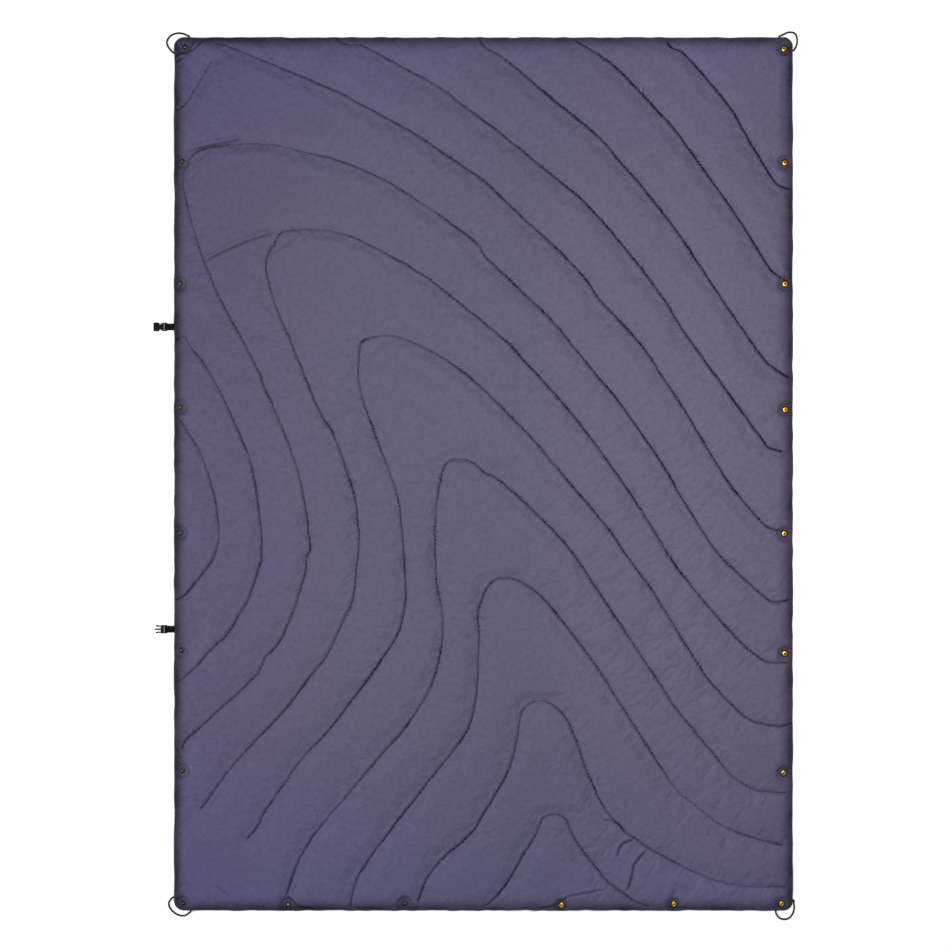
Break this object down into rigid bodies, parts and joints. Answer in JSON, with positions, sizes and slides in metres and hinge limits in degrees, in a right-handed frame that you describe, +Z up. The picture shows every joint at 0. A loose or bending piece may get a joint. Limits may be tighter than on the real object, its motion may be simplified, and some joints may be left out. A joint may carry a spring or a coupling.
{
  "type": "quilted camp blanket",
  "caption": "Quilted camp blanket lying flat, with contour quilting, perimeter snap fasteners, corner cord loops and a side release buckle on webbing tabs.",
  "frame": {"origin": "middle of the underside, on the ground", "axes": "+Z up out of the top side, +Y along the length towards the head end, +X to the right, away from the buckle tabs"},
  "size_m": [1.4286, 1.9708, 0.024],
  "materials": {
    "shell_cloth": "satin",
    "lining_cloth": "satin",
    "fill": "matte",
    "shock_cord": "matte",
    "webbing": "matte",
    "black_plastic": "satin",
    "black_metal": "satin",
    "brass": "polished"
  },
  "bodies": {
    "blanket": {"top_shell": "shell_cloth", "bottom_shell": "lining_cloth", "batting": "fill", "snap_socket_1": "black_metal", "snap_socket_2": "black_metal", "snap_socket_3": "black_metal", "snap_socket_4": "black_metal", "snap_socket_5": "black_metal", "snap_socket_6": "black_metal", "snap_socket_7": "black_metal", "snap_socket_8": "black_metal", "snap_socket_9": "black_metal", "snap_socket_10": "black_metal", "snap_cap_1": "black_metal", "snap_cap_2": "black_metal", "snap_cap_3": "black_metal", "snap_cap_4": "black_metal", "snap_cap_5": "black_metal", "snap_cap_6": "black_metal", "snap_cap_7": "black_metal", "snap_cap_8": "black_metal", "snap_cap_9": "black_metal", "snap_cap_10": "black_metal", "snap_stud_1": "brass", "snap_stud_2": "brass", "snap_stud_3": "brass", "snap_stud_4": "brass", "snap_stud_5": "brass", "snap_stud_6": "brass", "snap_stud_7": "brass", "snap_stud_8": "brass", "snap_stud_9": "brass", "snap_stud_10": "brass", "snap_post_1": "brass", "snap_post_2": "brass", "snap_post_3": "brass", "snap_post_4": "brass", "snap_post_5": "brass", "snap_post_6": "brass", "snap_post_7": "brass", "snap_post_8": "brass", "snap_post_9": "brass", "snap_post_10": "brass"},
    "loop_head_left": {"loop_head_left": "shock_cord"},
    "loop_head_right": {"loop_head_right": "shock_cord"},
    "loop_foot_left": {"loop_foot_left": "shock_cord"},
    "loop_foot_right": {"loop_foot_right": "shock_cord"},
    "tab_female": {"tab_female": "webbing"},
    "tab_male": {"tab_male": "webbing"},
    "buckle_female": {"buckle_female": "black_plastic"},
    "buckle_male": {"buckle_male": "black_plastic"},
    "buckle_arm_head": {"buckle_arm_head": "black_plastic"},
    "buckle_arm_foot": {"buckle_arm_foot": "black_plastic"}
  },
  "joints": [
    {"name": "loop_head_left_hinge", "type": "hinge", "parent": "blanket", "child": "loop_head_left", "pos_m": [-0.6876, 0.934, 0.0036], "axis": [0.6971, 0.717, 0], "range_deg": [0, 100]},
    {"name": "loop_head_right_hinge", "type": "hinge", "parent": "blanket", "child": "loop_head_right", "pos_m": [0.656, 0.9701, 0.0036], "axis": [0.7127, -0.7014, 0], "range_deg": [0, 100]},
    {"name": "loop_foot_left_hinge", "type": "hinge", "parent": "blanket", "child": "loop_foot_left", "pos_m": [-0.6495, -0.9701, 0.0036], "axis": [-0.7648, 0.6443, 0], "range_deg": [0, 100]},
    {"name": "loop_foot_right_hinge", "type": "hinge", "parent": "blanket", "child": "loop_foot_right", "pos_m": [0.6876, -0.945, 0.0036], "axis": [-0.8446, -0.5354, 0], "range_deg": [0, 100]},
    {"name": "tab_female_fold", "type": "hinge", "parent": "blanket", "child": "tab_female", "pos_m": [-0.6868, 0.326, 0.0038], "axis": [0, 1, 0], "range_deg": [0, 110]},
    {"name": "buckle_female_swing", "type": "hinge", "parent": "tab_female", "child": "buckle_female", "pos_m": [-0.703, 0.326, 0.0038], "axis": [0, 1, 0], "range_deg": [0, 70]},
    {"name": "tab_male_fold", "type": "hinge", "parent": "blanket", "child": "tab_male", "pos_m": [-0.6868, -0.344, 0.0038], "axis": [0, 1, 0], "range_deg": [0, 110]},
    {"name": "buckle_male_swing", "type": "hinge", "parent": "tab_male", "child": "buckle_male", "pos_m": [-0.703, -0.344, 0.0038], "axis": [0, 1, 0], "range_deg": [0, 70]},
    {"name": "buckle_arm_head_flex", "type": "hinge", "parent": "buckle_male", "child": "buckle_arm_head", "pos_m": [-0.7151, -0.3371, 0.0038], "axis": [0, 0, 1], "range_deg": [0, 9], "stiffness_Nm_per_rad": 0.5},
    {"name": "buckle_arm_foot_flex", "type": "hinge", "parent": "buckle_male", "child": "buckle_arm_foot", "pos_m": [-0.7151, -0.3509, 0.0038], "axis": [0, 0, 1], "range_deg": [-9, 0], "stiffness_Nm_per_rad": 0.5}
  ]
}
